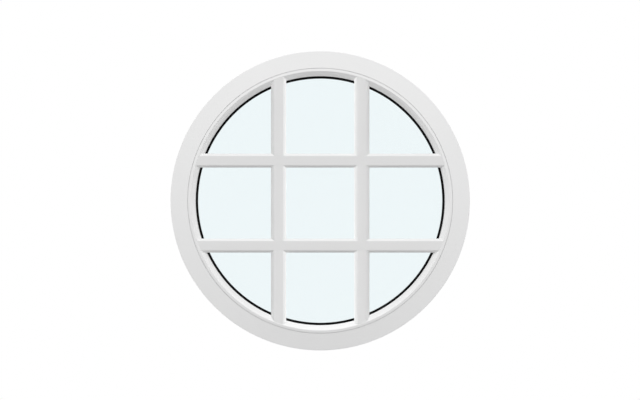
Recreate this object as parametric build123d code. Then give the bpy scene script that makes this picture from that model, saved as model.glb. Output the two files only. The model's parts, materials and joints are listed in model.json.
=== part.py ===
from build123d import *
import math
import os

# Fixed round window in its own frame: a bent and welded hollow-section ring, an insulating glass
# unit held by a clip-in bead in two lengths, and a grid of two upright and two level glazing bars
# that is stuck to both faces of the glass.
# Millimetres. The origin is the centre of the window, halfway through its depth. +Z is up and
# the beaded room side faces -Y. A section is drawn as points of radius and depth (x, y) and
# turned about the Y axis.

# Overall size
OUTER_RADIUS = 400.0
FRAME_DEPTH = 60.0
FRONT = -FRAME_DEPTH / 2
REAR = FRAME_DEPTH / 2

# Front of the window: one cone from the bead's peak, over its land and the frame's face, to the rim
PEAK_RADIUS = 346.5
FACE_FALL = 10.2
FACE_INNER_RADIUS = 355.2

# Frame section, weather side
LIP_THICKNESS = 17.5
LIP_NOSE_RADIUS = 332.6
LIP_SLOPE_RADIUS = 357.0
LIP_NOSE_FALL = 8.0
REBATE_RADIUS = 352.0

# Walls of the hollow sections
OUTER_WALL = 3.0
INNER_WEB = 1.5
WEB_FRONT = FRONT + 34.5
FRONT_CHAMBER_INNER_RADIUS = 358.5
REAR_CHAMBER_INNER_RADIUS = REBATE_RADIUS + OUTER_WALL

# Bead and the slot in the frame that it snaps into
BEAD_OUTER_RADIUS = 354.2
BEAD_NOSE_RADIUS = 332.6
BEAD_SLOPE_FALL = 8.9
BEAD_WALL = 1.9
BEAD_NOSE_LEG = 6.0
SHOULDER_DEPTH = 5.5
NIB_DEPTH = 8.3
NIB_RADIUS = 352.4
SLOT_DEPTH = 12.5
SLOT_RADIUS = 355.5
BARB_RADIUS = 354.4
FOOT_CLEARANCE = 0.3

# Insulating glass unit, on the gaskets
GASKET_THICKNESS = 3.0
FRONT_GASKET_THICKNESS = 2.8
GASKET_INNER_RADIUS = 326.8
REAR_GASKET_OUTER_RADIUS = 340.0
PANE_THICKNESS = 4.0
CAVITY = 16.0
UNIT_RADIUS = 347.0
SPACER_OUTER_RADIUS = 342.0
SPACER_INNER_RADIUS = 334.5
SPACER_BENDS = 48
LIP_FACE = REAR - LIP_THICKNESS
UNIT_REAR = LIP_FACE - GASKET_THICKNESS
CAVITY_REAR = UNIT_REAR - PANE_THICKNESS
CAVITY_FRONT = CAVITY_REAR - CAVITY
UNIT_FRONT = CAVITY_FRONT - PANE_THICKNESS
BEAD_SEAT = UNIT_FRONT - FRONT_GASKET_THICKNESS

# Glazing bars on the glass, the level ones of a narrower section with a wider crown
UPRIGHT_BAR_WIDTH = 40.6
UPRIGHT_BAR_CROWN = 21.4
LEVEL_BAR_WIDTH = 37.4
LEVEL_BAR_CROWN = 23.4
BAR_THICKNESS = 14.1
BAR_BEVEL_FALL = 5.6
BAR_BEVEL_SWELL = 0.7
UPRIGHT_BAR_X = 111.2
UPPER_BAR_Z = 107.3
LOWER_BAR_Z = -120.0
TAPE_THICKNESS = 1.0
TAPE_WIDTH = 30.0
TAPE_RADIUS = 322.0
COPE_GAP = 0.15

# Dummy bars inside the glass unit
CAVITY_BAR_WIDTH = 24.0
CAVITY_BAR_DEPTH = 11.5

# Packers under and around the glass unit
PACKER_WIDTH = 25.0
PACKER_LENGTH = 60.0
PACKER_CHANNEL_WIDTH = 5.0
PACKER_CHANNEL_DEPTH = 1.6

# Drainage on the weather side
DRAIN_SLOT_LENGTH = 26.0
DRAIN_SLOT_WIDTH = 5.0
OUTLET_RADIUS = 390.0
OUTLET_ANGLE = 9.0
INLET_ANGLE = 17.0

QUARTER_TURN = 90.0
LONG = 2.2 * OUTER_RADIUS


def section(*points):
    """Closed outline of radius and depth points."""
    return make_face(Polyline(*points, close=True))


def ring(face):
    """Section turned once round the window's axis."""
    return revolve(face, Axis.Y)


def ring_part(face, start, end):
    """Section turned from one clock angle to another, counted from +X towards +Z."""
    return revolve(face, Axis.Y, end - start).rotate(Axis.Y, -end)


def disc(radius, front, rear):
    face = section((0, front), (radius, front), (radius, rear), (0, rear))
    return ring(face)


def bent_disc(radius, front, rear):
    """Disc with a flat between each two bends of the spacer, measured to its flats."""
    outline = RegularPolygon(radius, SPACER_BENDS, major_radius=False)
    return extrude(Plane.XZ.offset(-rear) * outline, rear - front)


def face_depth(radius):
    """Depth at a radius of the cone that the bead's land and the frame's face lie on."""
    share = (radius - PEAK_RADIUS) / (OUTER_RADIUS - PEAK_RADIUS)
    return FRONT + FACE_FALL * share


def lip_depth(radius):
    """Depth of the weather side slope at a radius."""
    share = (LIP_SLOPE_RADIUS - radius) / (LIP_SLOPE_RADIUS - LIP_NOSE_RADIUS)
    return REAR - LIP_NOSE_FALL * share


def frame_outline():
    """Outside of the frame section, from the front face round to the bead's tapered slot."""
    shoulder = FRONT + SHOULDER_DEPTH
    nib = FRONT + NIB_DEPTH
    return section(
        (FACE_INNER_RADIUS, face_depth(FACE_INNER_RADIUS)),
        (OUTER_RADIUS, face_depth(OUTER_RADIUS)),
        (OUTER_RADIUS, REAR),
        (LIP_SLOPE_RADIUS, REAR),
        (LIP_NOSE_RADIUS, lip_depth(LIP_NOSE_RADIUS)),
        (LIP_NOSE_RADIUS, LIP_FACE),
        (REBATE_RADIUS, LIP_FACE),
        (REBATE_RADIUS, FRONT + SLOT_DEPTH),
        (SLOT_RADIUS, nib),
        (NIB_RADIUS, nib),
        (NIB_RADIUS, shoulder),
        (FACE_INNER_RADIUS, shoulder),
    )


def frame_chambers():
    """Hollows of the frame section: the wide room side one and the drained weather side one."""
    outer = OUTER_RADIUS - OUTER_WALL
    web_rear = WEB_FRONT + INNER_WEB
    front = section(
        (FRONT_CHAMBER_INNER_RADIUS, face_depth(FRONT_CHAMBER_INNER_RADIUS) + OUTER_WALL),
        (outer, face_depth(outer) + OUTER_WALL),
        (outer, WEB_FRONT),
        (FRONT_CHAMBER_INNER_RADIUS, WEB_FRONT),
    )
    rear = section(
        (REAR_CHAMBER_INNER_RADIUS, web_rear),
        (outer, web_rear),
        (outer, REAR - OUTER_WALL),
        (REAR_CHAMBER_INNER_RADIUS, REAR - OUTER_WALL),
    )
    return [front, rear]


def drain_outlet(angle):
    """Round-ended slot through the weather side face, low in the rear chamber."""
    slot = SlotOverall(DRAIN_SLOT_LENGTH, DRAIN_SLOT_WIDTH)
    cutter = extrude(Plane.XZ.offset(-REAR) * slot, OUTER_WALL, both=True)
    return cutter.moved(Location((0, 0, -OUTLET_RADIUS))).rotate(Axis.Y, angle)


def drain_inlet(angle):
    """Slot through the rebate floor beside the lip, into the rear chamber."""
    cutter = Box(DRAIN_SLOT_LENGTH, DRAIN_SLOT_WIDTH, 2 * OUTER_WALL)
    depth = (WEB_FRONT + INNER_WEB + LIP_FACE) / 2
    spot = Location((0, depth, -REBATE_RADIUS - OUTER_WALL / 2))
    return cutter.moved(spot).rotate(Axis.Y, angle)


def outer_frame():
    face = frame_outline()
    for chamber in frame_chambers():
        face = face - chamber
    frame = ring(face)
    for side in (-1, 1):
        frame = frame - drain_outlet(side * OUTLET_ANGLE)
        frame = frame - drain_inlet(side * INLET_ANGLE)
    return frame


def bead_section():
    """Thin bead: a land, a slope to the glass, a gasket leg and a barbed foot."""
    shoulder = FRONT + SHOULDER_DEPTH
    nib = FRONT + NIB_DEPTH
    foot_outer = NIB_RADIUS - FOOT_CLEARANCE
    foot_inner = foot_outer - BEAD_WALL
    foot_end = FRONT + SLOT_DEPTH - FOOT_CLEARANCE
    slope_low = FRONT + BEAD_SLOPE_FALL
    slope = BEAD_SLOPE_FALL / (PEAK_RADIUS - BEAD_NOSE_RADIUS)
    thick = BEAD_WALL * math.hypot(1, slope)
    leg = BEAD_NOSE_RADIUS + BEAD_NOSE_LEG
    under_leg = slope_low - slope * BEAD_NOSE_LEG + thick
    return section(
        (BEAD_OUTER_RADIUS, face_depth(BEAD_OUTER_RADIUS)),
        (BEAD_OUTER_RADIUS, shoulder),
        (foot_outer, shoulder),
        (foot_outer, nib),
        (BARB_RADIUS, nib),
        (foot_inner, foot_end),
        (foot_inner, face_depth(foot_inner) + BEAD_WALL),
        (leg, under_leg),
        (leg, BEAD_SEAT),
        (BEAD_NOSE_RADIUS, BEAD_SEAT),
        (BEAD_NOSE_RADIUS, slope_low),
        (PEAK_RADIUS, FRONT),
    )


def beads():
    """Two lengths of bead, cut where the ends of the upper level bar cover the joints."""
    middle = (BEAD_NOSE_RADIUS + PEAK_RADIUS) / 2
    joint = math.degrees(math.asin(UPPER_BAR_Z / middle))
    half_turn = 2 * QUARTER_TURN
    face = bead_section()
    return {
        "glazing_bead_upper": ring_part(face, joint, half_turn - joint),
        "glazing_bead_lower": ring_part(face, half_turn - joint, 2 * half_turn + joint),
    }


def gasket(glass, seat, outer):
    """Ring pressed between the glass and its seat, with an eased lip that shows inside it."""
    ease = GASKET_INNER_RADIUS + abs(seat - glass) / 2
    return ring(
        section((GASKET_INNER_RADIUS, glass), (ease, seat), (outer, seat), (outer, glass))
    )


def glass_unit():
    """Two panes apart on a spacer bent in short steps, with sealant behind it."""
    cavity = (CAVITY_FRONT, CAVITY_REAR)
    spacer = bent_disc(SPACER_OUTER_RADIUS, *cavity)
    return {
        "front_pane": disc(UNIT_RADIUS, UNIT_FRONT, CAVITY_FRONT),
        "rear_pane": disc(UNIT_RADIUS, CAVITY_REAR, UNIT_REAR),
        "spacer_ring": spacer - bent_disc(SPACER_INNER_RADIUS, *cavity),
        "edge_seal": disc(UNIT_RADIUS, *cavity) - spacer,
    }


def packer(angle):
    """Flat packer that touches the glass edge at its middle and the rebate at its two ends."""
    reach = math.sqrt(REBATE_RADIUS**2 - (PACKER_LENGTH / 2) ** 2)
    thickness = reach - UNIT_RADIUS
    plate = Box(thickness, PACKER_WIDTH, PACKER_LENGTH)
    for side in (-1, 1):
        channel = Box(PACKER_CHANNEL_DEPTH, PACKER_CHANNEL_WIDTH, PACKER_LENGTH)
        across = (thickness - PACKER_CHANNEL_DEPTH) / 2
        plate = plate - channel.moved(Location((across, side * PACKER_WIDTH / 4, 0)))
    spot = Location((UNIT_RADIUS + thickness / 2, (UNIT_FRONT + UNIT_REAR) / 2, 0))
    return plate.moved(spot).rotate(Axis.Y, -angle)


def packers():
    places = {
        "setting_block_left": 238.0,
        "setting_block_right": 302.0,
        "location_block_left": 180.0,
        "location_block_right": 0.0,
        "location_block_top_left": 125.0,
        "location_block_top_right": 55.0,
    }
    return {name: packer(angle) for name, angle in places.items()}


def bar_outline(width, crown_width, back, outward):
    """Bar section across X: flat crown, a swelling bevel each side, and straight edges."""
    edge = back + outward * (BAR_THICKNESS - BAR_BEVEL_FALL)
    crown = back + outward * BAR_THICKNESS
    side = width / 2
    brow = crown_width / 2
    swell = BAR_BEVEL_SWELL / math.hypot(side - brow, BAR_BEVEL_FALL)
    belly_across = (side + brow) / 2 + swell * BAR_BEVEL_FALL
    belly_depth = (edge + crown) / 2 + outward * swell * (side - brow)
    return make_face(
        Polyline((-side, edge), (-side, back), (side, back), (side, edge))
        + ThreePointArc((side, edge), (belly_across, belly_depth), (brow, crown))
        + Line((brow, crown), (-brow, crown))
        + ThreePointArc((-brow, crown), (-belly_across, belly_depth), (-side, edge))
    )


def upright(face, x=0.0):
    return extrude(face, LONG / 2, both=True).moved(Location((x, 0, 0)))


def level(face, z=0.0):
    return upright(face).rotate(Axis.Y, QUARTER_TURN).moved(Location((0, 0, z)))


def above(z):
    return Box(LONG, LONG, LONG, align=(Align.CENTER, Align.CENTER, Align.MIN)).moved(
        Location((0, 0, z))
    )


def below(z):
    return Box(LONG, LONG, LONG, align=(Align.CENTER, Align.CENTER, Align.MAX)).moved(
        Location((0, 0, z))
    )


def bead_cope():
    """What the ends of the room side bars are cut to: the gasket, the leg and the slope."""
    gasket_end = GASKET_INNER_RADIUS - COPE_GAP
    nose = BEAD_NOSE_RADIUS - COPE_GAP
    peak = PEAK_RADIUS - COPE_GAP
    return ring(
        section(
            (gasket_end, UNIT_FRONT),
            (gasket_end, BEAD_SEAT - COPE_GAP),
            (nose, BEAD_SEAT - COPE_GAP),
            (nose, FRONT + BEAD_SLOPE_FALL),
            (peak, FRONT),
            (LONG, FRONT),
            (LONG, UNIT_FRONT),
        )
    )


def lip_cope():
    """What the ends of the weather side bars are cut to: the gasket, the lip and its slope."""
    gasket_end = GASKET_INNER_RADIUS - COPE_GAP
    nose = LIP_NOSE_RADIUS - COPE_GAP
    return ring(
        section(
            (gasket_end, UNIT_REAR),
            (gasket_end, LIP_FACE + COPE_GAP),
            (nose, LIP_FACE + COPE_GAP),
            (nose, lip_depth(LIP_NOSE_RADIUS) + COPE_GAP),
            (LIP_SLOPE_RADIUS, REAR + COPE_GAP),
            (LONG, REAR + COPE_GAP),
            (LONG, UNIT_REAR),
        )
    )


def bar_grid(side, back, outward, cope):
    """Level bars run through; upright bars are in three lengths, coped over their bevels."""
    level_face = bar_outline(LEVEL_BAR_WIDTH, LEVEL_BAR_CROWN, back, outward)
    upright_face = bar_outline(UPRIGHT_BAR_WIDTH, UPRIGHT_BAR_CROWN, back, outward)
    upper = level(level_face, UPPER_BAR_Z)
    lower = level(level_face, LOWER_BAR_Z)
    grid = {f"{side}_bar_upper": upper - cope, f"{side}_bar_lower": lower - cope}
    for hand, x in (("left", -UPRIGHT_BAR_X), ("right", UPRIGHT_BAR_X)):
        bar = upright(upright_face, x)
        middle = bar - above(UPPER_BAR_Z) - below(LOWER_BAR_Z)
        grid[f"{side}_bar_{hand}_top"] = (bar - below(UPPER_BAR_Z)) - upper - cope
        grid[f"{side}_bar_{hand}_middle"] = middle - upper - lower
        grid[f"{side}_bar_{hand}_bottom"] = (bar - above(LOWER_BAR_Z)) - lower - cope
    return grid


def half_chord(radius, offset_from_centre, width):
    """Half length of a square-ended strip that just stays inside a circle."""
    return math.sqrt(radius**2 - (abs(offset_from_centre) + width / 2) ** 2)


def tape_strips(front, rear):
    """One strip behind each bar length, clear of the gasket and of the crossing bars."""
    half = LEVEL_BAR_WIDTH / 2
    thickness = rear - front
    middle = (front + rear) / 2
    strips = []
    for z in (UPPER_BAR_Z, LOWER_BAR_Z):
        length = 2 * half_chord(TAPE_RADIUS, z, TAPE_WIDTH)
        strips.append(Box(length, thickness, TAPE_WIDTH).moved(Location((0, middle, z))))
    end = half_chord(TAPE_RADIUS, UPRIGHT_BAR_X, TAPE_WIDTH)
    spans = (
        (UPPER_BAR_Z + half, end),
        (LOWER_BAR_Z + half, UPPER_BAR_Z - half),
        (-end, LOWER_BAR_Z - half),
    )
    for x in (-UPRIGHT_BAR_X, UPRIGHT_BAR_X):
        for low, high in spans:
            strip = Box(TAPE_WIDTH, thickness, high - low)
            strips.append(strip.moved(Location((x, middle, (low + high) / 2))))
    return Compound([strip.solid() for strip in strips])


def cavity_bars():
    """Dummy bars halved over each other where they cross, the level ones notched in front."""
    middle = (CAVITY_FRONT + CAVITY_REAR) / 2
    half = CAVITY_BAR_WIDTH / 2
    front = middle - CAVITY_BAR_DEPTH / 2
    rear = middle + CAVITY_BAR_DEPTH / 2
    whole = section((-half, front), (half, front), (half, rear), (-half, rear))
    front_half = section((-half, front), (half, front), (half, middle), (-half, middle))
    rear_half = section((-half, middle), (half, middle), (half, rear), (-half, rear))
    reach = bent_disc(SPACER_INNER_RADIUS, CAVITY_FRONT, CAVITY_REAR)
    levels = {"upper": UPPER_BAR_Z, "lower": LOWER_BAR_Z}
    uprights = {"left": -UPRIGHT_BAR_X, "right": UPRIGHT_BAR_X}
    bars = {}
    for name, z in levels.items():
        bar = level(whole, z) & reach
        for x in uprights.values():
            bar = bar - upright(front_half, x)
        bars[f"cavity_bar_{name}"] = bar
    for name, x in uprights.items():
        bar = upright(whole, x) & reach
        for z in levels.values():
            bar = bar - level(rear_half, z)
        bars[f"cavity_bar_{name}"] = bar
    return bars


def all_parts():
    front_back = UNIT_FRONT - TAPE_THICKNESS
    rear_back = UNIT_REAR + TAPE_THICKNESS
    parts = {"outer_frame": outer_frame()}
    parts.update(beads())
    parts["front_gasket"] = gasket(UNIT_FRONT, BEAD_SEAT, BEAD_NOSE_RADIUS + BEAD_NOSE_LEG)
    parts["rear_gasket"] = gasket(UNIT_REAR, LIP_FACE, REAR_GASKET_OUTER_RADIUS)
    parts.update(glass_unit())
    parts.update(packers())
    parts.update(bar_grid("front", front_back, -1, bead_cope()))
    parts.update(bar_grid("rear", rear_back, 1, lip_cope()))
    parts["front_bar_tapes"] = tape_strips(front_back, UNIT_FRONT)
    parts["rear_bar_tapes"] = tape_strips(UNIT_REAR, rear_back)
    parts.update(cavity_bars())
    return parts


os.makedirs("parts", exist_ok=True)
for node, shape in all_parts().items():
    export_step(shape, f"parts/{node}.step")
    print(node, len(shape.solids()), round(shape.volume))
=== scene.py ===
import json
import math

import bmesh
import bpy
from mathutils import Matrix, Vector

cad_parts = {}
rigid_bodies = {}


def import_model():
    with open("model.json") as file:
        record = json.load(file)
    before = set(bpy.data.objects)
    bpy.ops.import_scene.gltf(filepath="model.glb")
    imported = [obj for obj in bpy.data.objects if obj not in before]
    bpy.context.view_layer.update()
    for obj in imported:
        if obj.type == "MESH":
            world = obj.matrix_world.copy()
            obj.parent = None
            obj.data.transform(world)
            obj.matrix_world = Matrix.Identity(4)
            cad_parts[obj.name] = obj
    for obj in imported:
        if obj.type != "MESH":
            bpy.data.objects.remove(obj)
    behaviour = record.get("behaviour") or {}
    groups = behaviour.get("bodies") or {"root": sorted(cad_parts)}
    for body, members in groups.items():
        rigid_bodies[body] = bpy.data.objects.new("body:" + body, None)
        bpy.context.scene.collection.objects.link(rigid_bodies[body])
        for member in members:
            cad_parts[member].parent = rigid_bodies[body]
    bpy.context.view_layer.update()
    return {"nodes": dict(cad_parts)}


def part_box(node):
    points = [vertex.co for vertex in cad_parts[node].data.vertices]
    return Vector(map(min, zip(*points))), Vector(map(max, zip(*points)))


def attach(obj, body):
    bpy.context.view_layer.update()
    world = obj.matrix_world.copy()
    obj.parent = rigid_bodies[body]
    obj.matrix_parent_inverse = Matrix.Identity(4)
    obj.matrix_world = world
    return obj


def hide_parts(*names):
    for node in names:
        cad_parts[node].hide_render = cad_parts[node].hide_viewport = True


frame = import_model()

# A fixed round window of white plastic: a bent ring frame, a glazing bead in two lengths, gaskets,
# an insulating glass unit and a grid of glazing bars on both faces of the glass.
# Metres. The origin is the centre of the window, +Z is up and the room side faces -Y.
# A section is drawn as corners of radius, depth and rounding. A bar's has width for radius.

bl_info = {
    "name": "Round window",
    "version": (1, 0, 0),
    "blender": (4, 5, 0),
    "location": "View3D > Sidebar > Round window",
    "description": "Builds a round window with glazing bars around its packed parts",
    "category": "Object",
}

BODY = "root"
MM = 0.001
TOUCH = 0.02 * MM
# Air left between the glass and what lies on it, so that no two faces share a plane
GLASS_GAP = 0.04 * MM
FULL_TURN = 2 * math.pi
QUARTER_TURN = math.pi / 2

# Unit vectors along the two ways that bars run, and the way that each bar's width lies
ALONG = {"x": Vector((1, 0, 0)), "z": Vector((0, 0, 1))}
ACROSS = {"x": "z", "z": "x"}

FRAME_LOW, FRAME_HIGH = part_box("outer_frame")
FRONT_GASKET_LOW, FRONT_GASKET_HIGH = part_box("front_gasket")
REAR_GASKET_LOW, REAR_GASKET_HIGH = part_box("rear_gasket")
FRONT_PANE_LOW, FRONT_PANE_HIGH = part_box("front_pane")
REAR_PANE_LOW, REAR_PANE_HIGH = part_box("rear_pane")
OUTER_RADIUS = FRAME_HIGH.x
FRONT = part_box("glazing_bead_lower")[0].y
REAR = FRAME_HIGH.y


def metres(name, value, description):
    """A setting that is a length."""
    return bpy.props.FloatProperty(
        name=name, description=description, default=value, unit="LENGTH"
    )


def degrees(name, value, description):
    """A setting that is an angle, with its default in degrees."""
    return bpy.props.FloatProperty(
        name=name, description=description, default=math.radians(value), subtype="ANGLE"
    )


def number(name, value, description, **limits):
    """A setting that is a plain number, never below zero."""
    return bpy.props.FloatProperty(
        name=name, description=description, default=value, min=0.0, **limits
    )


def rgb(name, value, description):
    """A setting that is a colour, in linear light."""
    return bpy.props.FloatVectorProperty(
        name=name, description=description, default=value, subtype="COLOR", min=0.0, max=1.0
    )


class FrameSizes(bpy.types.PropertyGroup):
    """Section of the ring frame."""

    face_fall: metres("Face fall", 10.2 * MM, "Fall of the front from the bead's peak to the rim")
    face_inner_radius: metres(
        "Face inner radius", 354.7 * MM, "Radius where the front face meets the bead's groove"
    )
    shoulder_depth: metres("Shoulder depth", 5.5 * MM, "How far behind the front the bead rests")
    nib_depth: metres("Nib depth", 8.3 * MM, "How far behind the front the bead's barb catches")
    nib_radius: metres("Nib radius", 352.4 * MM, "Inner radius of the nib that holds the barb")
    slot_depth: metres("Slot depth", 12.5 * MM, "How far behind the front the bead's slot ends")
    slot_radius: metres("Slot radius", 355.5 * MM, "Outer radius of the bead's slot")
    rebate_radius: metres("Rebate radius", 352.0 * MM, "Radius of the floor under the packers")
    lip_slope_radius: metres("Lip slope radius", 357.0 * MM, "Radius where the rear slope begins")
    lip_nose_radius: metres("Lip nose radius", 332.6 * MM, "Inner radius of the weather side lip")
    lip_nose_fall: metres("Lip nose fall", 8.0 * MM, "How far the weather side slope falls")
    wall: metres("Wall", 3.0 * MM, "Thickness of the section's outer walls")
    web: metres("Web", 1.5 * MM, "Thickness of the wall between the two hollows")
    web_depth: metres("Web depth", 34.5 * MM, "How far behind the front the web stands")
    chamber_radius: metres("Chamber radius", 358.5 * MM, "Inner radius of the room side hollow")
    edge_radius: metres("Edge radius", 1.0 * MM, "Rounding of the section's outer edges")
    groove_edge_radius: metres("Groove edge radius", 0.3 * MM, "Rounding of the groove's edges")
    drain_length: metres("Drain length", 26.0 * MM, "Length of a drainage slot")
    drain_width: metres("Drain width", 5.0 * MM, "Width of a drainage slot")
    outlet_radius: metres("Outlet radius", 390.0 * MM, "Radius of the weather side slots")
    outlet_angle: degrees("Outlet angle", 9, "Turn from the lowest point to a weather side slot")
    inlet_angle: degrees("Inlet angle", 17, "Turn from the lowest point to a slot in the rebate")
    steps: bpy.props.IntProperty(
        name="Steps", description="Steps in one full turn", default=288, min=48, max=480
    )


class BeadSizes(bpy.types.PropertyGroup):
    """Section of the glazing bead."""

    peak_radius: metres("Peak radius", 346.8 * MM, "Radius where the land meets the slope")
    land_outer_radius: metres("Land outer radius", 353.8 * MM, "Outer radius of the bead's land")
    nose_radius: metres("Nose radius", 332.8 * MM, "Inner radius of the bead")
    slope_fall: metres("Slope fall", 8.9 * MM, "How far the slope falls from the peak to the nose")
    wall: metres("Wall", 1.9 * MM, "Thickness of the bead's walls")
    leg: metres("Leg", 6.0 * MM, "Width of the leg that presses on the gasket")
    barb_radius: metres("Barb radius", 354.4 * MM, "Radius that the barb reaches in the slot")
    clearance: metres("Clearance", 0.3 * MM, "Room round the bead's foot in the slot")
    edge_radius: metres("Edge radius", 0.5 * MM, "Rounding of the bead's peak and nose")


class BarSizes(bpy.types.PropertyGroup):
    """Sections of the glazing bars."""

    upright_crown: metres("Upright crown", 21.4 * MM, "Width of the flat crown of an upright bar")
    level_crown: metres("Level crown", 23.4 * MM, "Width of the flat crown of a level bar")
    bevel_fall: metres("Bevel fall", 5.6 * MM, "How far a bevel falls from the crown")
    bevel_swell: metres("Bevel swell", 0.7 * MM, "How far a bevel's middle stands out")
    edge_radius: metres("Edge radius", 0.4 * MM, "Rounding of the bar's long edges")
    joint: metres("Joint", 0.12 * MM, "Gap left where a bar is cut to another piece")
    tape_width: metres("Tape width", 30.0 * MM, "Width of the tapes behind the bars")
    tape_radius: metres("Tape radius", 322.0 * MM, "Radius that the tapes' corners reach")


class UnitSizes(bpy.types.PropertyGroup):
    """Gaskets, spacer and dummy bars of the glass unit."""

    gasket_inner_radius: metres("Gasket inner radius", 326.2 * MM, "Inner radius of the gaskets")
    lip_rise: metres("Lip rise", 1.1 * MM, "Height of a gasket's lip at its thin end")
    lip_width: metres("Lip width", 5.6 * MM, "Width over which a gasket's lip swells")
    spacer_inner_radius: metres("Spacer inner radius", 334.5 * MM, "Inner radius of the spacer")
    spacer_outer_radius: metres("Spacer outer radius", 342.0 * MM, "Radius of the spacer's back")
    vent_pitch: metres("Vent pitch", 3.0 * MM, "Distance between the vent holes of the spacer")
    vent_radius: metres("Vent radius", 0.45 * MM, "Radius of the spacer's vent holes")
    dummy_edge_radius: metres("Dummy edge radius", 2.0 * MM, "Rounding of the dummy bars' edges")


class Finishes(bpy.types.PropertyGroup):
    """Colours of the window's materials."""

    frame_white: rgb("Frame white", (0.85, 0.85, 0.85), "Colour of the frame and the bead")
    bar_white: rgb("Bar white", (0.80, 0.80, 0.80), "Colour of the glazing bars")
    rubber_black: rgb("Rubber black", (0.004, 0.004, 0.0042), "Colour of the gaskets")
    glass_tint: rgb("Glass tint", (0.922, 0.962, 0.971), "Colour that one pane lets through")
    aluminium: rgb("Aluminium", (0.72, 0.73, 0.74), "Colour of the spacer")
    sealant: rgb("Sealant", (0.05, 0.05, 0.053), "Colour of the glass unit's edge seal")
    packer: rgb("Packer", (0.10, 0.22, 0.45), "Colour of the setting and location blocks")
    foam: rgb("Foam", (0.68, 0.68, 0.67), "Colour of the tapes behind the bars")
    paint: rgb("Paint", (0.80, 0.80, 0.79), "Colour of the painted bars inside the glass unit")


class StageSettings(bpy.types.PropertyGroup):
    """Lamps, floor and background."""

    key_strength: number("Key strength", 0.8, "Strength of the soft lamp above and in front")
    key_height: degrees("Key height", 60, "Height of the key lamp above the horizon")
    key_spread: degrees("Key spread", 30, "Apparent size of the key lamp")
    bar_side_strength: number("Bar side strength", 1.24, "Lamps on the upright bars' inner bevels")
    ring_side_strength: number("Ring side strength", 0.48, "Strength of the lamps on the ring")
    side_turn: degrees("Side turn", 2, "Turn of the side lamps towards the front")
    fill: number("Fill", 1.06, "Brightness that matt surfaces receive from straight ahead")
    fill_rise: number("Fill rise", 0.38, "How much brighter the fill is straight above than ahead")
    fill_side_fall: number("Fill side fall", 1.3, "How much darker the fill is at the sides")
    fill_behind: number("Fill behind", 0.7, "Share of the fill from behind the window", max=1.0)
    back_strength: number("Back strength", 1.15, "Strength of the soft lamps behind the window")
    back_height: degrees("Back height", 40, "Height of the lamp on the weather side bars")
    floor_white: number("Floor white", 0.91, "Lightness of the floor", max=1.0)


# Modelling helpers


def select_nothing():
    """Leaves edit mode and deselects every object."""
    if bpy.context.object is not None and bpy.context.object.mode != "OBJECT":
        bpy.ops.object.mode_set(mode="OBJECT")
    bpy.ops.object.select_all(action="DESELECT")


def only(piece):
    """Makes a piece the one that is selected and active."""
    select_nothing()
    piece.select_set(True)
    bpy.context.view_layer.objects.active = piece


def select_all():
    """Selects the whole mesh in edit mode."""
    bpy.ops.mesh.select_all(action="SELECT")


def select_vertices(piece, wanted):
    """Selects the vertices whose place passes a test, in edit mode."""
    bpy.ops.mesh.select_mode(type="VERT")
    mesh = bmesh.from_edit_mesh(piece.data)
    for vertex in mesh.verts:
        vertex.select_set(wanted(vertex.co))
    mesh.select_flush_mode()
    bmesh.update_edit_mesh(piece.data)


def draw_section(name, corners, place, round_steps=4):
    """Draws a section corner by corner and rounds the corners that have a rounding.

    A corner is (across, depth, rounding), and place turns across and depth into a point."""
    select_nothing()
    bpy.ops.mesh.primitive_plane_add(size=MM, location=(0, 0, 0))
    piece = bpy.context.active_object
    piece.name = name
    piece.data.name = name
    points = [place(across, depth) for across, depth, rounding in corners]
    bpy.ops.object.mode_set(mode="EDIT")
    select_all()
    bpy.ops.mesh.merge(type="CENTER")
    bpy.ops.transform.translate(value=points[0])
    for last, point in zip(points, points[1:]):
        bpy.ops.mesh.extrude_vertices_move(TRANSFORM_OT_translate={"value": point - last})
    select_all()
    bpy.ops.mesh.edge_face_add()
    for rounding in sorted({corner[2] for corner in corners if corner[2]}):
        chosen = [point for point, corner in zip(points, corners) if corner[2] == rounding]
        select_vertices(piece, lambda co: any((co - point).length < TOUCH for point in chosen))
        bpy.ops.mesh.bevel(offset=rounding, segments=round_steps, affect="VERTICES", profile=0.5)
    return piece


def close_shell():
    """Turns the faces of the mesh in edit mode outward and leaves edit mode."""
    select_all()
    bpy.ops.mesh.normals_make_consistent(inside=False)
    bpy.ops.object.mode_set(mode="OBJECT")


def spun(name, corners, start=0.0, turn=FULL_TURN):
    """A section turned about the window's axis, from a clock angle counted from +X to +Z."""
    steps = bpy.context.scene.window_frame_sizes.steps

    def place(radius, depth):
        return Vector((radius * math.cos(start), depth, radius * math.sin(start)))

    piece = draw_section(name, corners, place)
    select_all()
    bpy.ops.mesh.delete(type="ONLY_FACE")
    select_all()
    steps = max(1, round(steps * turn / FULL_TURN))
    bpy.ops.mesh.spin(steps=steps, angle=turn, center=(0, 0, 0), axis=(0, 1, 0))
    select_all()
    bpy.ops.mesh.remove_doubles(threshold=TOUCH / 4)
    if turn < FULL_TURN:
        select_all()
        bpy.ops.mesh.fill_holes(sides=0)
    close_shell()
    return piece


def extruded(name, corners, place, along, round_steps=4):
    """A section pushed straight along a vector."""
    piece = draw_section(name, corners, place, round_steps)
    select_all()
    bpy.ops.mesh.extrude_region_move(TRANSFORM_OT_translate={"value": along})
    close_shell()
    return piece


def pushed(name, corners, axis, start, end):
    """A section of width and depth pushed along the X or the Z axis."""

    def place(width, depth):
        return ALONG[ACROSS[axis]] * width + ALONG[axis] * start + Vector((0, depth, 0))

    return extruded(name, corners, place, ALONG[axis] * (end - start))


def apply_modifier(piece, kind, **settings):
    """Adds a modifier to a piece, sets it and applies it."""
    only(piece)
    modifier = piece.modifiers.new(kind.lower(), kind)
    for setting, value in settings.items():
        setattr(modifier, setting, value)
    bpy.ops.object.modifier_apply(modifier=modifier.name)


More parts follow.
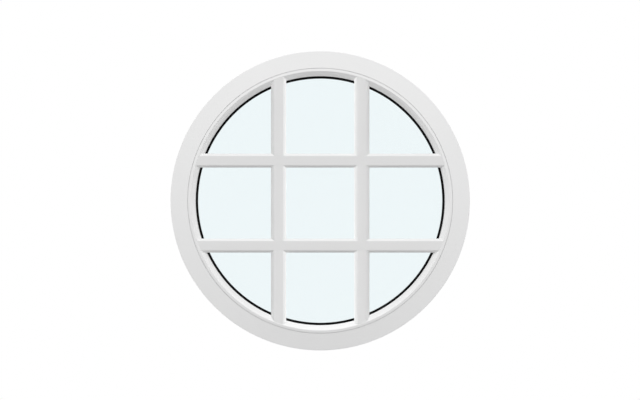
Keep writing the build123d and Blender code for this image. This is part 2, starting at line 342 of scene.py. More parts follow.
def cut(piece, *tools):
    """Takes the tools out of a piece. The tools stay, so that one can cut several pieces."""
    for tool in tools:
        apply_modifier(piece, "BOOLEAN", object=tool, operation="DIFFERENCE", solver="EXACT")


def discard(*tools):
    """Removes pieces that were only there to cut others."""
    for tool in tools:
        mesh = tool.data
        bpy.data.objects.remove(tool)
        bpy.data.meshes.remove(mesh)


def smooth(piece, sharp_above=30):
    """Smooth shading that keeps the flats flat beside their rounded edges."""
    only(piece)
    bpy.ops.object.shade_smooth_by_angle(angle=math.radians(sharp_above))
    apply_modifier(piece, "WEIGHTED_NORMAL", mode="FACE_AREA", weight=50, keep_sharp=True)


def fit(piece, finish, slot, *nodes):
    """Gives a finished piece its material and its body, and hides the nodes that it stands for."""
    piece.data.materials.clear()
    piece.data.materials.append(finish)
    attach(piece, BODY)
    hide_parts(*nodes)


def box_corners(low, high, rounding=0.0):
    """Four corners of a box section between two (across, depth) points."""
    return [
        (low[0], low[1], rounding),
        (high[0], low[1], rounding),
        (high[0], high[1], rounding),
        (low[0], high[1], rounding),
    ]


def node_span(node, axis):
    """A node's box along an axis: its two (across, depth) corners, its start and its end."""
    low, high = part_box(node)
    across = ACROSS[axis]
    corners = [(getattr(corner, across), corner.y) for corner in (low, high)]
    return (*corners, getattr(low, axis), getattr(high, axis))


# Material helpers


class Wire:
    """An output socket. Arithmetic on it adds Math nodes to its tree."""

    def __init__(self, nodes, socket):
        self.nodes = nodes
        self.socket = socket

    def __add__(self, other):
        return self.nodes.maths("ADD", self, other)

    __radd__ = __add__

    def __sub__(self, other):
        return self.nodes.maths("SUBTRACT", self, other)

    def __mul__(self, other):
        return self.nodes.maths("MULTIPLY", self, other)

    __rmul__ = __mul__

    def __pow__(self, other):
        return self.nodes.maths("POWER", self, other)

    def __lt__(self, other):
        return self.nodes.maths("LESS_THAN", self, other)


class Nodes:
    """The node tree of a material or a world, with one method that adds any node to it."""

    def __init__(self, owner):
        owner.use_nodes = True
        self.owner = owner
        self.tree = owner.node_tree
        self.tree.nodes.clear()

    def node(self, kind, settings=None, inputs=None, output=0):
        """Adds a node, sets its settings, then its sockets, and gives one of its outputs."""
        node = self.tree.nodes.new(kind)
        for setting, value in (settings or {}).items():
            setattr(node, setting, value)
        for socket, value in (inputs or {}).items():
            if isinstance(value, Wire):
                self.tree.links.new(value.socket, node.inputs[socket])
            else:
                node.inputs[socket].default_value = value
        return Wire(self, node.outputs[output]) if node.outputs else None

    def maths(self, operation, *values):
        """A Math node on wires and numbers."""
        return self.node("ShaderNodeMath", {"operation": operation}, dict(enumerate(values)))

    def place(self):
        """Object coordinates as three wires, which in a world are the direction."""
        point = self.node("ShaderNodeTexCoord", output="Object")
        split = {"Vector": point}
        return [self.node("ShaderNodeSeparateXYZ", None, split, axis) for axis in "XYZ"]

    def backdrop(self, strength):
        """White light from all round."""
        inputs = {"Color": (1, 1, 1, 1), "Strength": strength}
        return self.node("ShaderNodeBackground", None, inputs)

    def looked_at(self):
        """1 where the camera, gloss or glass looks, 0 where matt surfaces gather light."""
        camera, gloss, glass = (
            self.node("ShaderNodeLightPath", output=f"Is {ray} Ray")
            for ray in ("Camera", "Glossy", "Transmission")
        )
        return self.maths("MAXIMUM", self.maths("MAXIMUM", camera, gloss), glass)


# A Mix node's sockets for its factor, its two colours and the colour that it gives
MIX_FACTOR, MIX_LOW, MIX_HIGH, MIX_RESULT = 0, 6, 7, 2


class Finish(Nodes):
    """A material's nodes."""

    def __init__(self, name):
        super().__init__(bpy.data.materials.new(name))

    def noise(self, point, scale, detail=2.0):
        """Noise from 0 to 1 at a point given as three wires."""
        vector = self.node("ShaderNodeCombineXYZ", None, dict(zip("XYZ", point)))
        inputs = {"Vector": vector, "Scale": scale, "Detail": detail}
        return self.node("ShaderNodeTexNoise", None, inputs, "Fac")

    def tones(self, share, colour, start, end):
        """A colour times a factor that runs from start to end as a share runs from 0 to 1."""
        low, high = ([min(1.0, part * factor) for part in colour] for factor in (start, end))
        inputs = {MIX_FACTOR: share, MIX_LOW: (*low, 1.0), MIX_HIGH: (*high, 1.0)}
        return self.node("ShaderNodeMix", {"data_type": "RGBA"}, inputs, MIX_RESULT)

    def bump(self, height, depth):
        """A normal that follows a height from 0 to 1, with its depth in metres."""
        return self.node("ShaderNodeBump", None, {"Height": height, "Distance": depth}, "Normal")

    def show(self, shader):
        """The finished material, which shows a shader."""
        self.node("ShaderNodeOutputMaterial", None, {"Surface": shader})
        return self.owner

    def principled(self, **inputs):
        """A Principled shader. Underscores in a name stand for spaces."""
        named = {name.replace("_", " "): value for name, value in inputs.items()}
        return self.node("ShaderNodeBsdfPrincipled", None, named, "BSDF")

    def surface(self, **inputs):
        """The material of one Principled shader."""
        return self.show(self.principled(**inputs))


def vary(share, low, high):
    """A value that runs from low to high as a share runs from 0 to 1."""
    return share * (high - low) + low


# Directions that a drawn profile's fine lines follow


def round_grain(finish):
    """Radius, depth and arc length on a bent profile."""
    x, y, z = finish.place()
    radius = (x * x + z * z) ** 0.5
    return radius, y, finish.maths("ARCTAN2", z, x) * OUTER_RADIUS


def upright_grain(finish):
    """Width, depth and length on an upright bar."""
    return tuple(finish.place())


def level_grain(finish):
    """Width, depth and length on a level bar."""
    x, y, z = finish.place()
    return z, y, x


# Finishes


def plastic(name, colour, grain):
    """White plastic profile: faint drawing lines along its length and a soft, even gloss."""
    finish = Finish(name)
    across, depth, along = grain(finish)
    stretch = 0.01
    line_tone = 0.35
    line_height = 0.4
    satin = 0.34
    uneven = 0.08
    lines = finish.noise((across, depth, along * stretch), scale=700.0, detail=3.0)
    clouds = finish.noise((across, depth, along), scale=9.0, detail=3.0)
    peel = finish.noise((across, depth, along), scale=420.0)
    tone = lines * line_tone + clouds * (1 - line_tone)
    height = peel * (1 - line_height) + lines * line_height
    return finish.surface(
        Base_Color=finish.tones(tone, colour, start=0.98, end=1.02),
        Roughness=lines * uneven + clouds * uneven + satin,
        IOR=1.5,
        Normal=finish.bump(height, depth=0.03 * MM),
    )


def rubber(name, colour):
    """Matt black rubber with a fine skin."""
    finish = Finish(name)
    along_lip = round_grain(finish)
    skin = finish.noise(along_lip, scale=1500.0)
    bloom = finish.noise(along_lip, scale=60.0, detail=3.0)
    return finish.surface(
        Base_Color=finish.tones(bloom, colour, start=0.8, end=1.5),
        Roughness=vary(bloom, low=0.7, high=0.85),
        Specular_IOR_Level=0.06,
        Normal=finish.bump(skin, depth=0.05 * MM),
    )


def pane_glass(name, tint):
    """Clear float glass that lets lamps through to what is behind it."""
    finish = Finish(name)
    wave = finish.noise(finish.place(), scale=6.0, detail=1.0)
    clear_tint = (*tint, 1.0)
    glass = finish.principled(
        Base_Color=clear_tint,
        Roughness=0.0,
        IOR=1.5,
        Transmission_Weight=1.0,
        Normal=finish.bump(wave, depth=0.02 * MM),
    )
    clear = finish.node("ShaderNodeBsdfTransparent", None, {"Color": clear_tint}, "BSDF")
    shadow = finish.node("ShaderNodeLightPath", output="Is Shadow Ray")
    return finish.show(finish.node("ShaderNodeMixShader", None, {0: shadow, 1: glass, 2: clear}))


def spacer_metal(name, colour, sizes):
    """Mill finish aluminium with two rows of vent holes on the side that faces the cavity. The
    holes are dots painted dark, a painted shade for the inside of each hole.
    """
    finish = Finish(name)
    radius, depth, along = round_grain(finish)
    stretch = 0.02
    line_height = 0.3
    hole_dullness = 0.3
    lines = finish.noise((radius, depth, along * stretch), scale=900.0, detail=3.0)
    middle = (FRONT_PANE_HIGH.y + REAR_PANE_LOW.y) / 2
    row = (REAR_PANE_LOW.y - FRONT_PANE_HIGH.y) / 4
    pitch = finish.maths("PINGPONG", along, sizes.vent_pitch / 2)
    # Mask of the vent holes: it dents the bump, dulls the gloss and paints the shade inside each
    # hole into the colour
    shaded_holes = 0.0
    for side in (-1, 1):
        across = depth - (middle + side * row)
        reach = (across * across + pitch * pitch) ** 0.5
        shaded_holes = (reach < sizes.vent_radius) + shaded_holes
    shaded_holes = shaded_holes * (radius < sizes.spacer_inner_radius + MM)
    return finish.surface(
        # Painted shade: the colour goes near black inside the vent holes, standing for the shadow
        # in each hole
        Base_Color=finish.tones(shaded_holes, colour, start=1.0, end=0.15),
        Roughness=vary(lines, low=0.3, high=0.45) + shaded_holes * hole_dullness,
        Metallic=1.0,
        Normal=finish.bump(lines * line_height - shaded_holes, depth=0.1 * MM),
    )


def sealant(name, colour):
    """Sealant with a lumpy, half-gloss skin."""
    finish = Finish(name)
    lumps = finish.noise(finish.place(), scale=180.0, detail=3.0)
    return finish.surface(
        Base_Color=finish.tones(lumps, colour, start=0.8, end=1.3),
        Roughness=vary(lumps, low=0.45, high=0.7),
        Normal=finish.bump(lumps, depth=0.3 * MM),
    )


def packer_plastic(name, colour):
    """Moulded plastic with faint flow marks."""
    finish = Finish(name)
    flow = finish.noise(finish.place(), scale=90.0, detail=3.0)
    return finish.surface(
        Base_Color=finish.tones(flow, colour, start=0.9, end=1.1),
        Roughness=vary(flow, low=0.42, high=0.62),
        Normal=finish.bump(flow, depth=0.1 * MM),
    )


def foam_tape(name, colour):
    """Closed cells under a thin skin."""
    finish = Finish(name)
    point = finish.node("ShaderNodeTexCoord", output="Object")
    inputs = {"Vector": point, "Scale": 2500.0}
    cells = finish.node("ShaderNodeTexVoronoi", {"feature": "F1"}, inputs, "Distance")
    return finish.surface(
        Base_Color=finish.tones(cells, colour, start=1.0, end=0.8),
        Roughness=vary(cells, low=0.8, high=0.9),
        Normal=finish.bump(cells, depth=0.1 * MM),
    )


def bar_paint(name, colour):
    """Powder paint on aluminium."""
    finish = Finish(name)
    peel = finish.noise(finish.place(), scale=600.0)
    return finish.surface(
        Base_Color=finish.tones(peel, colour, start=0.98, end=1.0),
        Roughness=vary(peel, low=0.4, high=0.5),
        Normal=finish.bump(peel, depth=0.05 * MM),
    )


# Sections


def face_depth(radius):
    """Depth of the cone that the bead's land and the frame's face lie on."""
    peak = bpy.context.scene.window_bead_sizes.peak_radius
    share = (radius - peak) / (OUTER_RADIUS - peak)
    return FRONT + bpy.context.scene.window_frame_sizes.face_fall * share


def frame_section(sizes):
    """Outside of the frame section, from the front face round to the bead's tapered slot."""
    shoulder = FRONT + sizes.shoulder_depth
    nib = FRONT + sizes.nib_depth
    edge = sizes.edge_radius
    return [
        (sizes.face_inner_radius, face_depth(sizes.face_inner_radius), sizes.groove_edge_radius),
        (OUTER_RADIUS, face_depth(OUTER_RADIUS), edge),
        (OUTER_RADIUS, REAR, edge),
        (sizes.lip_slope_radius, REAR, edge),
        (sizes.lip_nose_radius, REAR - sizes.lip_nose_fall, edge),
        (sizes.lip_nose_radius, REAR_GASKET_HIGH.y, edge / 2),
        (sizes.rebate_radius, REAR_GASKET_HIGH.y, 0),
        (sizes.rebate_radius, FRONT + sizes.slot_depth, 0),
        (sizes.slot_radius, nib, 0),
        (sizes.nib_radius, nib, 0),
        (sizes.nib_radius, shoulder, 0),
        (sizes.face_inner_radius, shoulder, 0),
    ]


def chamber_sections(sizes):
    """The wide room side hollow and the drained weather side one."""
    wall = sizes.wall
    inner = sizes.chamber_radius
    outer = OUTER_RADIUS - wall
    web_front = FRONT + sizes.web_depth
    rear_low = (sizes.rebate_radius + wall, web_front + sizes.web)
    front = [
        (inner, face_depth(inner) + wall, 0),
        (outer, face_depth(outer) + wall, 0),
        (outer, web_front, 0),
        (inner, web_front, 0),
    ]
    return [front, box_corners(rear_low, (outer, REAR - wall))]


def bead_section(sizes, frame_sizes):
    """Land, slope, gasket leg and barbed foot of the bead."""
    shoulder = FRONT + frame_sizes.shoulder_depth
    nib = FRONT + frame_sizes.nib_depth
    foot_outer = frame_sizes.nib_radius - sizes.clearance
    foot_inner = foot_outer - sizes.wall
    foot_end = FRONT + frame_sizes.slot_depth - sizes.clearance
    slope = sizes.slope_fall / (sizes.peak_radius - sizes.nose_radius)
    low = FRONT + sizes.slope_fall
    leg = sizes.nose_radius + sizes.leg
    under_leg = low - slope * sizes.leg + sizes.wall * math.hypot(1, slope)
    seat = FRONT_GASKET_LOW.y
    land_outer = sizes.land_outer_radius
    return [
        (land_outer, face_depth(land_outer), frame_sizes.groove_edge_radius),
        (land_outer, shoulder, 0),
        (foot_outer, shoulder, 0),
        (foot_outer, nib, 0),
        (sizes.barb_radius, nib, 0),
        (foot_inner, foot_end, 0),
        (foot_inner, face_depth(foot_inner) + sizes.wall, 0),
        (leg, under_leg, 0),
        (leg, seat, 0),
        (sizes.nose_radius, seat, 0),
        (sizes.nose_radius, low, sizes.edge_radius),
        (sizes.peak_radius, FRONT, sizes.edge_radius),
    ]


def gasket_section(sizes, outer, glass, seat):
    """Soft lip that leans on the glass and swells towards its seat."""
    toward = 1 if seat > glass else -1
    lean = 0.1 * MM
    dip = 0.15 * MM
    swell_share = 0.6
    inner = sizes.gasket_inner_radius
    near = glass + toward * GLASS_GAP
    lip = glass + toward * sizes.lip_rise
    swell = inner + sizes.lip_width * swell_share
    return [
        (inner, near, 0),
        (inner + lean, lip, sizes.lip_rise / 2),
        (swell, seat - toward * dip, sizes.lip_rise),
        (inner + sizes.lip_width, seat, 0),
        (outer, seat, 0),
        (outer, near, 0),
    ]


def belly(start, end, swell, out, steps=6):
    """Corners on the shallow arc from start to end, both (across, depth).

    out says which way across and which way in depth the arc swells, as two signs."""
    half_across = (end[0] - start[0]) / 2
    half_depth = (end[1] - start[1]) / 2
    half = math.hypot(half_across, half_depth)
    radius = (half**2 + swell**2) / (2 * swell)
    corners = []
    for step in range(1, steps):
        share = 2 * step / steps - 1
        rise = math.sqrt(radius**2 - (share * half) ** 2) - (radius - swell)
        across = start[0] + half_across * (1 + share) + out[0] * rise * abs(half_depth) / half
        depth = start[1] + half_depth * (1 + share) + out[1] * rise * abs(half_across) / half
        corners.append((across, depth, 0))
    return corners


def bar_section(low, high, crown_width, sizes, outward, gap=0.0):
    """Bar section with its back on the tape, its crown outward and a swelling bevel each side.

    low and high are (across, depth) of the bar's box. A gap makes it that much bigger."""
    back, crown = (low[1], high[1]) if outward > 0 else (high[1], low[1])
    crown += outward * gap
    side = crown - outward * sizes.bevel_fall
    left = low[0] - gap
    right = high[0] + gap
    brow = crown_width / 2 + gap / 2
    middle = (left + right) / 2
    edge = 0 if gap else sizes.edge_radius
    swell = sizes.bevel_swell
    return [
        (left, back, 0),
        (right, back, 0),
        (right, side, edge),
        *belly((right, side), (middle + brow, crown), swell, (1, outward)),
        (middle + brow, crown, 0),
        (middle - brow, crown, 0),
        *belly((middle - brow, crown), (left, side), swell, (-1, outward)),
        (left, side, edge),
    ]


# Operators


class BuildFrame(bpy.types.Operator):
    """Turns the frame section, hollows it and cuts its drainage slots"""

    bl_idname = "round_window.frame"
    bl_label = "Frame"

    def execute(self, context):
        sizes = context.scene.window_frame_sizes
        piece = spun("window_frame", frame_section(sizes))
        tools = [spun("chamber", section) for section in chamber_sections(sizes)]
        for side in (-1, 1):
            tools.append(outlet_tool(sizes, side * sizes.outlet_angle))
            tools.append(inlet_tool(sizes, side * sizes.inlet_angle))
        cut(piece, *tools)
        discard(*tools)
        smooth(piece)
        white = context.scene.window_finishes.frame_white
        finish = plastic("frame_plastic", white, round_grain)
        fit(piece, finish, "frame_plastic", "outer_frame")
        return {"FINISHED"}


def drain_directions(angle):
    """Outward and along the ring, at an angle from the lowest point."""
    outward = Vector((math.sin(angle), 0, -math.cos(angle)))
    return outward, outward.cross(Vector((0, 1, 0)))


def outlet_tool(sizes, angle):
    """A slot with rounded ends through the weather side wall, low in the rear hollow."""
    outward, tangent = drain_directions(angle)
    reach = (sizes.drain_length / 2, sizes.drain_width / 2)
    roundness = 0.98
    corners = box_corners((-reach[0], -reach[1]), reach, roundness * reach[1])

    def place(along, across):
        spot = outward * (sizes.outlet_radius + across) + tangent * along
        return spot + Vector((0, REAR - 2 * sizes.wall + MM, 0))

    return extruded("outlet", corners, place, Vector((0, 2 * sizes.wall, 0)), round_steps=8)


def inlet_tool(sizes, angle):
    """A slot through the rebate floor beside the lip, into the rear hollow."""
    outward, tangent = drain_directions(angle)
    reach = (sizes.drain_length / 2, sizes.drain_width / 2)
    corners = box_corners((-reach[0], -reach[1]), reach)
    depth = (FRONT + sizes.web_depth + sizes.web + REAR_GASKET_HIGH.y) / 2
    floor_radius = sizes.rebate_radius - sizes.wall / 2

    def place(along, across):
        return outward * floor_radius + tangent * along + Vector((0, depth + across, 0))

    return extruded("inlet", corners, place, outward * 2 * sizes.wall)


class BuildBeads(bpy.types.Operator):
    """Turns the two lengths of glazing bead"""

    bl_idname = "round_window.beads"
    bl_label = "Beads"

    def execute(self, context):
        sizes = context.scene.window_bead_sizes
        section = bead_section(sizes, context.scene.window_frame_sizes)
        bar_low, bar_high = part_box("front_bar_upper")
        middle = (sizes.nose_radius + sizes.peak_radius) / 2
        joint = math.asin((bar_low.z + bar_high.z) / 2 / middle)
        white = context.scene.window_finishes.frame_white
        finish = plastic("bead_plastic", white, round_grain)
        lengths = {
            "upper": (joint, math.pi - 2 * joint),
            "lower": (math.pi - joint, math.pi + 2 * joint),
        }
        for name, (start, turn) in lengths.items():
            piece = spun(f"bead_{name}", section, start, turn)
            smooth(piece)
            fit(piece, finish, "frame_plastic", f"glazing_bead_{name}")
        return {"FINISHED"}


class BuildGaskets(bpy.types.Operator):
    """Turns the two gaskets"""

    bl_idname = "round_window.gaskets"
    bl_label = "Gaskets"

    def execute(self, context):
        sizes = context.scene.window_unit_sizes
        finish = rubber("gasket_rubber", context.scene.window_finishes.rubber_black)
        sides = {
            "front": (FRONT_GASKET_HIGH.z, FRONT_GASKET_HIGH.y, FRONT_GASKET_LOW.y),
            "rear": (REAR_GASKET_HIGH.z, REAR_GASKET_LOW.y, REAR_GASKET_HIGH.y),
        }
        for side, (outer, glass, seat) in sides.items():
            piece = spun(f"gasket_{side}", gasket_section(sizes, outer, glass, seat))
            smooth(piece, sharp_above=50)
            fit(piece, finish, "gasket_rubber", f"{side}_gasket")
        return {"FINISHED"}


def bar_piece(name, node, axis, crown_width, sizes, outward, gap=0.0):
    """A bar as long as its node's box, a little bigger all round where it is a tool."""
    low, high, start, end = node_span(node, axis)
    section = bar_section(low, high, crown_width, sizes, outward, gap)
    return pushed(name, section, axis, start - gap, end + gap)


def cope(scene, glass, seat, nose, peak, clear):
    """Ring that bars are cut to, from the glass over a gasket, its seat and the slope beside it.

    nose and peak are the (radius, depth) ends of the slope, and clear is a depth past the bars."""
    inner = scene.window_unit_sizes.gasket_inner_radius - scene.window_bar_sizes.joint
    outline = [
        (inner, glass),
        (inner, seat),
        (nose[0], seat),
        nose,
        peak,
        (peak[0], clear),
        (OUTER_RADIUS, clear),
        (OUTER_RADIUS, glass),
    ]
    return spun("cope", [(*corner, 0) for corner in outline])


def front_cope(scene):
    """What the room side bars are cut to: the gasket, the bead's leg and its slope."""
    bead = scene.window_bead_sizes
    gap = scene.window_bar_sizes.joint
    nose = (bead.nose_radius - gap, FRONT + bead.slope_fall)
    peak = (bead.peak_radius - gap, FRONT)
    seat = FRONT_GASKET_LOW.y - gap
    return cope(scene, FRONT_PANE_HIGH.y, seat, nose, peak, FRONT - bead.slope_fall)


def rear_cope(scene):
    """What the weather side bars are cut to: the gasket, the frame's lip and its slope."""
    sizes = scene.window_frame_sizes
    gap = scene.window_bar_sizes.joint
    nose = (sizes.lip_nose_radius - gap, REAR - sizes.lip_nose_fall + gap)
    peak = (sizes.lip_slope_radius, REAR + gap)
    seat = REAR_GASKET_HIGH.y + gap
    return cope(scene, REAR_PANE_LOW.y, seat, nose, peak, REAR + sizes.lip_nose_fall)


class BuildBars(bpy.types.Operator):
    """Models the glazing bars of both faces, coped to each other and to the ring"""

    bl_idname = "round_window.bars"
    bl_label = "Glazing bars"

    def execute(self, context):
        scene = context.scene
        sizes = scene.window_bar_sizes
        white = scene.window_finishes.bar_white
        upright = plastic("upright_bar_plastic", white, upright_grain)
        level = plastic("level_bar_plastic", white, level_grain)
        lengths = {"top": ["upper"], "middle": ["upper", "lower"], "bottom": ["lower"]}
        for side, outward, side_cope in (("front", -1, front_cope), ("rear", 1, rear_cope)):
            ring = side_cope(scene)
            crossing = {}
            for name in ("upper", "lower"):
                node = f"{side}_bar_{name}"
                shape = (node, "x", sizes.level_crown, sizes, outward)
                crossing[name] = bar_piece("crossing", *shape, sizes.joint)
                piece = bar_piece(f"{side}_{name}_bar", *shape)
                cut(piece, ring)
                smooth(piece)
                fit(piece, level, "bar_plastic", node)
            for hand in ("left", "right"):
                for name, near in lengths.items():
                    node = f"{side}_bar_{hand}_{name}"
                    shape = (node, "z", sizes.upright_crown, sizes, outward)
                    piece = bar_piece(f"{side}_{hand}_{name}_bar", *shape)
                    cut(piece, *(crossing[one] for one in near))
                    if name != "middle":
                        cut(piece, ring)
                    smooth(piece)
                    fit(piece, upright, "bar_plastic", node)
            discard(ring, *crossing.values())
        return {"FINISHED"}


class BuildTapes(bpy.types.Operator):
    """Models the tapes that hold the bars on the glass"""

    bl_idname = "round_window.tapes"
    bl_label = "Tapes"

    def execute(self, context):
        sizes = context.scene.window_bar_sizes
        foam = foam_tape("foam_tape", context.scene.window_finishes.foam)
        for side in ("front", "rear"):
            strips = tape_strips(side, sizes)
            piece = strips[0]
            only(piece)
            for strip in strips:
                strip.select_set(True)
            bpy.ops.object.join()
            piece.name = f"tapes_{side}"
            fit(piece, foam, "foam_tape", f"{side}_bar_tapes")
        return {"FINISHED"}


def tape_strips(side, sizes):
    """One strip behind each bar, clear of the gasket and of the bars that cross it."""
    low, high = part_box(f"{side}_bar_tapes")
    glass_side = {"front": (low.y, high.y - GLASS_GAP), "rear": (low.y + GLASS_GAP, high.y)}
    near, far = glass_side[side]
    half = sizes.tape_width / 2

    def strip(axis, middle, start, end):
        section = box_corners((middle - half, near), (middle + half, far))
        return pushed("tape", section, axis, start, end)

    def reach(middle):
        return math.sqrt(sizes.tape_radius**2 - (abs(middle) + half) ** 2)

    strips = []
    levels = [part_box(f"{side}_bar_{name}") for name in ("lower", "upper")]
    for bar_low, bar_high in levels:
        middle = (bar_low.z + bar_high.z) / 2
        strips.append(strip("x", middle, -reach(middle), reach(middle)))
    for hand in ("left", "right"):
        bar_low, bar_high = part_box(f"{side}_bar_{hand}_middle")
        middle = (bar_low.x + bar_high.x) / 2
        ends = [-reach(middle)]
        for level_low, level_high in levels:
            ends += [level_low.z, level_high.z]
        ends.append(reach(middle))
        for start, end in zip(ends[::2], ends[1::2]):
            strips.append(strip("z", middle, start, end))
    return strips


class BuildSpacer(bpy.types.Operator):
    """Turns the spacer between the panes"""

    bl_idname = "round_window.spacer"
    bl_label = "Spacer"

    def execute(self, context):
        sizes = context.scene.window_unit_sizes
        section = box_corners(
            (sizes.spacer_inner_radius, FRONT_PANE_HIGH.y + GLASS_GAP),
            (sizes.spacer_outer_radius, REAR_PANE_LOW.y - GLASS_GAP),
            rounding=0.6 * MM,
        )
        piece = spun("spacer", section)
        smooth(piece)
        metal = spacer_metal("spacer_metal", context.scene.window_finishes.aluminium, sizes)
        fit(piece, metal, "spacer_metal", "spacer_ring")
        return {"FINISHED"}


class BuildDummyBars(bpy.types.Operator):
    """Models the bars inside the glass unit, halved over each other where they cross"""

    bl_idname = "round_window.dummy_bars"
    bl_label = "Dummy bars"

    def execute(self, context):
        sizes = context.scene.window_unit_sizes
        paint = bar_paint("cavity_bar_paint", context.scene.window_finishes.paint)
        section = box_corners(
            (sizes.spacer_inner_radius, FRONT_PANE_LOW.y), (OUTER_RADIUS, REAR_PANE_HIGH.y)
        )
        ends = spun("ends", section)
        names = {"x": ("upper", "lower"), "z": ("left", "right")}
        for axis, hands in names.items():
            for hand in hands:
                low, high, start, end = node_span(f"cavity_bar_{hand}", axis)
                section = box_corners(low, high, sizes.dummy_edge_radius)
                piece = pushed(f"dummy_bar_{hand}", section, axis, start, end)
                across = ACROSS[axis]
                notches = [dummy_notch(f"cavity_bar_{other}", across) for other in names[across]]
                cut(piece, ends, *notches)
                discard(*notches)
                smooth(piece)
                fit(piece, paint, "cavity_bar_paint", f"cavity_bar_{hand}")
        discard(ends)
        return {"FINISHED"}


def dummy_notch(crossing, axis):
    """What a bar loses to one that crosses it: an upright's front half, or a level bar's rear."""
    low, high, start, end = node_span(crossing, axis)
    middle = (low[1] + high[1]) / 2
    near, far = (low[1] - MM, middle) if axis == "z" else (middle, high[1] + MM)
    section = box_corners((low[0], near), (high[0], far))
    return pushed("notch", section, axis, start, end)


class FinishGlassUnit(bpy.types.Operator):
    """Gives the panes, the edge seal and the packers their materials"""

    bl_idname = "round_window.glass_unit"
    bl_label = "Glass unit"

    def execute(self, context):
        finishes = context.scene.window_finishes
        glass = pane_glass("pane_glass", finishes.glass_tint)
        packer = packer_plastic("packer_plastic", finishes.packer)
        kept = {
            "front_pane": glass,
            "rear_pane": glass,
            "edge_seal": sealant("edge_sealant", finishes.sealant),
        }
        kept.update({name: packer for name in frame["nodes"] if "_block_" in name})
        for name, finish in kept.items():
            for slot in frame["nodes"][name].material_slots:
                slot.material = finish
        return {"FINISHED"}


# How far the stage reaches, in metres
FLOOR_RADIUS = 30.0
LAMP_DISTANCE = 3.0
CAMERA_DISTANCE = 4.0
CAMERA_REACH = 50.0


class BuildStage(bpy.types.Operator):
    """Adds the floor, the studio light and the camera"""

    bl_idname = "round_window.stage"
    bl_label = "Stage"

    def execute(self, context):
        settings = context.scene.window_stage
        floor(settings)
        studio(context.scene, settings)
        key_lamp(settings)
        back_lamps(settings)
        side_lamps(settings)
        camera(context.scene)
        context.scene.view_settings.view_transform = "Standard"
        return {"FINISHED"}


def floor(settings):
    """A plain floor that keeps the window's shadow and throws no light back on it."""
    select_nothing()
    bpy.ops.mesh.primitive_circle_add(
        vertices=96, radius=FLOOR_RADIUS, fill_type="NGON", location=(0, 0, FRAME_LOW.z)
    )
    plane = bpy.context.active_object
    plane.name = "floor"
    bpy.ops.object.transform_apply(location=True)
    plane.visible_diffuse = False
    plane.visible_shadow = False
    white = settings.floor_white
    finish = Finish("floor").surface(Base_Color=(white, white, white, 1.0), Roughness=0.7)
    plane.data.materials.append(finish)


def studio(scene, settings):
    """White where the camera, gloss and glass look. Matt surfaces receive a fill instead, which
    is brightest above, darkest at the sides and weaker behind the window."""
    scene.world = bpy.data.worlds.new("studio")
    room = Nodes(scene.world)
    across, ahead, up = room.place()
    around = up * settings.fill_rise - across * across * settings.fill_side_fall + settings.fill
    share = (ahead < 0.0) * (1 - settings.fill_behind) + settings.fill_behind
    fill = room.backdrop(room.maths("MAXIMUM", around, 0.0) * share)
    white = room.backdrop(1.0)
    seen = room.node("ShaderNodeMixShader", None, {0: room.looked_at(), 1: fill, 2: white})
    room.node("ShaderNodeOutputWorld", None, {"Surface": seen})


def sun(name, toward, strength, spread):
    """A lamp far away in one direction."""
    data = bpy.data.lights.new(name, "SUN")
    data.energy = strength
    data.angle = spread
    lamp = bpy.data.objects.new(name, data)
    lamp.location = toward * LAMP_DISTANCE
    lamp.rotation_euler = toward.to_track_quat("Z", "Y").to_euler()
    bpy.context.scene.collection.objects.link(lamp)
    return lamp


def light_only(lamp, beginnings):
    """Lets a lamp light only the pieces whose names begin so."""
    lit = bpy.data.collections.new("lit_pieces")
    for piece in bpy.data.objects:
        if piece.name.startswith(beginnings):
            lit.objects.link(piece)
    lamp.light_linking.receiver_collection = lit


def key_lamp(settings):
    """The soft lamp above and in front."""
    height = settings.key_height
    toward = Vector((0, -math.cos(height), math.sin(height)))
    sun("key", toward, settings.key_strength, settings.key_spread)


def back_lamps(settings):
    """One lamp for the frame, level so that its rim stays below white, and one for the bars."""
    lit = {0.0: ("window_frame",), settings.back_height: ("rear_", "tapes_", "dummy_")}
    for height, beginnings in lit.items():
        toward = Vector((0, math.cos(height), math.sin(height)))
        strength = settings.back_strength / math.cos(height)
        lamp = sun("back", toward, strength, settings.key_spread)
        lamp.visible_glossy = False
        lamp.visible_transmission = False
        light_only(lamp, beginnings)


def side_lamps(settings):
    """Light from both sides on the bevels that face the window's middle and on the ring."""
    for side, hand in ((-1, "right"), (1, "left")):
        toward = Vector((side, -math.tan(settings.side_turn), 0)).normalized()
        bars = sun("side", toward, settings.bar_side_strength, spread=0.0)
        light_only(bars, (f"front_{hand}_", f"rear_{hand}_"))
        ring = sun("side", toward, settings.ring_side_strength, spread=0.0)
        light_only(ring, ("window_frame", "bead_"))


# Where the rim stands in the photograph, in its pixels, and how wide the photograph is
PHOTO_WIDTH = 640
PHOTO_MIDDLE = (320.0, 200.0)
RIM_MIDDLE = (320.2, 200.7)
RIM_RADIUS = 149.63


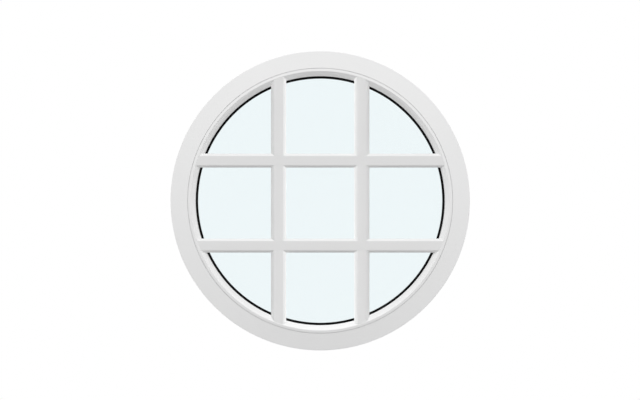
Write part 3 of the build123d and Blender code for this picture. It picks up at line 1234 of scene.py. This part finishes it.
def camera(scene):
    """Looks straight at the room side with no perspective, as the photograph does."""
    scale = OUTER_RADIUS / RIM_RADIUS
    data = bpy.data.cameras.new("camera")
    data.type = "ORTHO"
    data.ortho_scale = PHOTO_WIDTH * scale
    data.clip_end = CAMERA_REACH
    looker = bpy.data.objects.new("camera", data)
    looker.location = (
        (PHOTO_MIDDLE[0] - RIM_MIDDLE[0]) * scale,
        -CAMERA_DISTANCE,
        (RIM_MIDDLE[1] - PHOTO_MIDDLE[1]) * scale,
    )
    looker.rotation_euler = (QUARTER_TURN, 0, 0)
    scene.collection.objects.link(looker)
    scene.camera = looker


class RoundWindowPanel(bpy.types.Panel):
    """Lists the window's operators and settings"""

    bl_idname = "VIEW3D_PT_round_window"
    bl_label = "Round window"
    bl_space_type = "VIEW_3D"
    bl_region_type = "UI"
    bl_category = "Round window"

    def draw(self, context):
        for operator in OPERATORS:
            self.layout.operator(operator.bl_idname)
        for name, group in SETTINGS.items():
            box = self.layout.box()
            for setting in group.__annotations__:
                box.prop(getattr(context.scene, name), setting)


SETTINGS = {
    "window_frame_sizes": FrameSizes,
    "window_bead_sizes": BeadSizes,
    "window_bar_sizes": BarSizes,
    "window_unit_sizes": UnitSizes,
    "window_finishes": Finishes,
    "window_stage": StageSettings,
}
OPERATORS = (
    BuildFrame,
    BuildBeads,
    BuildGaskets,
    BuildBars,
    BuildTapes,
    BuildSpacer,
    BuildDummyBars,
    FinishGlassUnit,
    BuildStage,
)


def register():
    for group in SETTINGS.values():
        bpy.utils.register_class(group)
    for name, group in SETTINGS.items():
        setattr(bpy.types.Scene, name, bpy.props.PointerProperty(type=group))
    for operator in OPERATORS:
        bpy.utils.register_class(operator)
    bpy.utils.register_class(RoundWindowPanel)


def unregister():
    bpy.utils.unregister_class(RoundWindowPanel)
    for operator in reversed(OPERATORS):
        bpy.utils.unregister_class(operator)
    for name in SETTINGS:
        delattr(bpy.types.Scene, name)
    for group in reversed(SETTINGS.values()):
        bpy.utils.unregister_class(group)


def main():
    register()
    bpy.ops.round_window.frame()
    bpy.ops.round_window.beads()
    bpy.ops.round_window.gaskets()
    bpy.ops.round_window.bars()
    bpy.ops.round_window.tapes()
    bpy.ops.round_window.spacer()
    bpy.ops.round_window.dummy_bars()
    bpy.ops.round_window.glass_unit()
    bpy.ops.round_window.stage()


if __name__ == "__main__":
    main()
